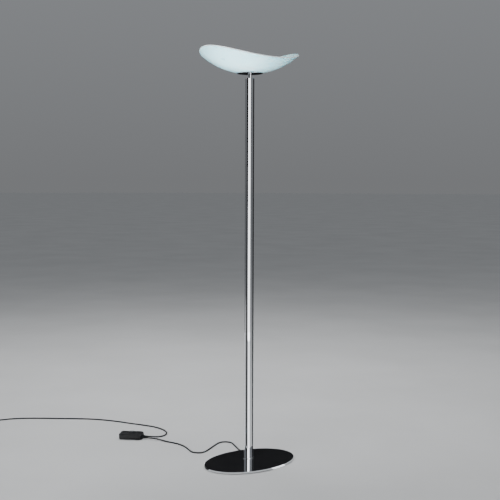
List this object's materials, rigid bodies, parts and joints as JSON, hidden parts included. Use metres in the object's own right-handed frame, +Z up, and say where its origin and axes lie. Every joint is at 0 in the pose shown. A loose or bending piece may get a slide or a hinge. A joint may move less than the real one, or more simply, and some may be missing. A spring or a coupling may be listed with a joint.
{
  "type": "torchiere floor lamp",
  "caption": "Torchiere floor lamp: oval slumped glass uplighter bowl on a chromed oval pole and thin oval mirror base, with a foot dimmer on its lead.",
  "frame": {"origin": "on the floor, on the axis of the pole, which is the middle of the lamp seen from above without its lead", "axes": "+Z up, +X along the long axis of the oval bowl, pole and base, +Y towards the side where the lead leaves the base"},
  "size_m": [1.0488, 1.5479, 1.8529],
  "materials": {
    "chrome": "mirror-bright chromium plate on steel",
    "steel": "zinc-plated steel",
    "satin_glass": "slumped glass, satin inside, polished edge",
    "clear_glass": "toughened clear glass",
    "quartz": "clear fused quartz",
    "white_enamel": "heat-resistant white enamel, semi-gloss",
    "reflector": "bright anodised aluminium",
    "spacer": "turned aluminium",
    "ceramic": "steatite ceramic",
    "contact": "nickel-plated brass",
    "tungsten": "tungsten wire",
    "pad": "black anti-slip rubber",
    "silicone": "translucent silicone rubber",
    "cord": "black round flexible lead, semi-matt",
    "black_plastic": "black moulded plastic, satin gloss",
    "slider_plastic": "dark grey moulded plastic",
    "board": "phenolic circuit board",
    "copper": "enamelled copper winding",
    "component": "moulded component bodies",
    "wire_sleeve": "glass-fibre sleeved heat-resistant wire",
    "terminal": "porcelain terminal block"
  },
  "bodies": {
    "lamp": {"base_plate": "chrome", "base_pad": "pad", "base_bolts": "steel", "base_cord_bush": "black_plastic", "foot_insert": "steel", "foot_collar": "chrome", "pole": "chrome", "pole_top_cap": "chrome", "inner_lead": "cord", "neck_sleeve": "chrome", "threaded_stem": "steel", "stem_nut_lower": "steel", "stem_nut_upper": "steel", "stem_washer": "steel", "glass_diffuser": "satin_glass", "holder_plate": "chrome", "lower_gasket": "silicone", "upper_gasket": "silicone", "stem_spacer": "spacer", "lamp_tray": "white_enamel", "holder_bracket": "steel", "lampholder_left": "ceramic", "lampholder_right": "ceramic", "lamp_tube": "quartz", "lamp_caps": "ceramic", "lamp_filament": "tungsten", "reflector": "reflector", "reflector_posts": "steel", "reflector_screws": "steel", "terminal_block": "terminal", "terminal_screws": "contact", "lamp_wires": "wire_sleeve", "supply_cores": "wire_sleeve", "hinge_pins": "steel", "dimmer_base_shell": "black_plastic", "dimmer_top_shell": "black_plastic", "dimmer_pot": "component", "dimmer_board": "board", "dimmer_choke": "copper", "dimmer_heatsink": "spacer", "dimmer_triac": "slider_plastic", "dimmer_capacitors": "component", "dimmer_terminals": "component", "dimmer_screws": "steel", "dimmer_feet": "pad", "dimmer_bush_lamp": "black_plastic", "dimmer_bush_mains": "black_plastic", "lamp_lead": "cord", "mains_lead": "cord", "mains_tail": "cord", "mains_coil": "cord", "plug_body": "black_plastic", "plug_pins": "contact", "plug_bush": "black_plastic"},
    "dimmer_slider": {"dimmer_slider": "slider_plastic"},
    "glass_cover": {"cover_frame": "white_enamel", "safety_glass": "clear_glass", "cover_clips": "steel"},
    "contact_left": {"contact_left": "contact"},
    "contact_right": {"contact_right": "contact"}
  },
  "joints": [
    {"name": "slider_travel", "type": "slide", "parent": "lamp", "child": "dimmer_slider", "axis": [0.7254, -0.6884, 0], "range_m": [-0.018, 0.018]},
    {"name": "cover_hinge", "type": "hinge", "parent": "lamp", "child": "glass_cover", "pos_m": [0, 0.056, 1.8095], "axis": [-1, 0, 0], "range_deg": [0, 105]},
    {"name": "contact_left_push", "type": "slide", "parent": "lamp", "child": "contact_left", "axis": [-1, 0, 0], "range_m": [0, 0.002], "stiffness_N_per_m": 400, "springref_m": -0.008},
    {"name": "contact_right_push", "type": "slide", "parent": "lamp", "child": "contact_right", "axis": [1, 0, 0], "range_m": [0, 0.002], "stiffness_N_per_m": 400, "springref_m": -0.008}
  ]
}
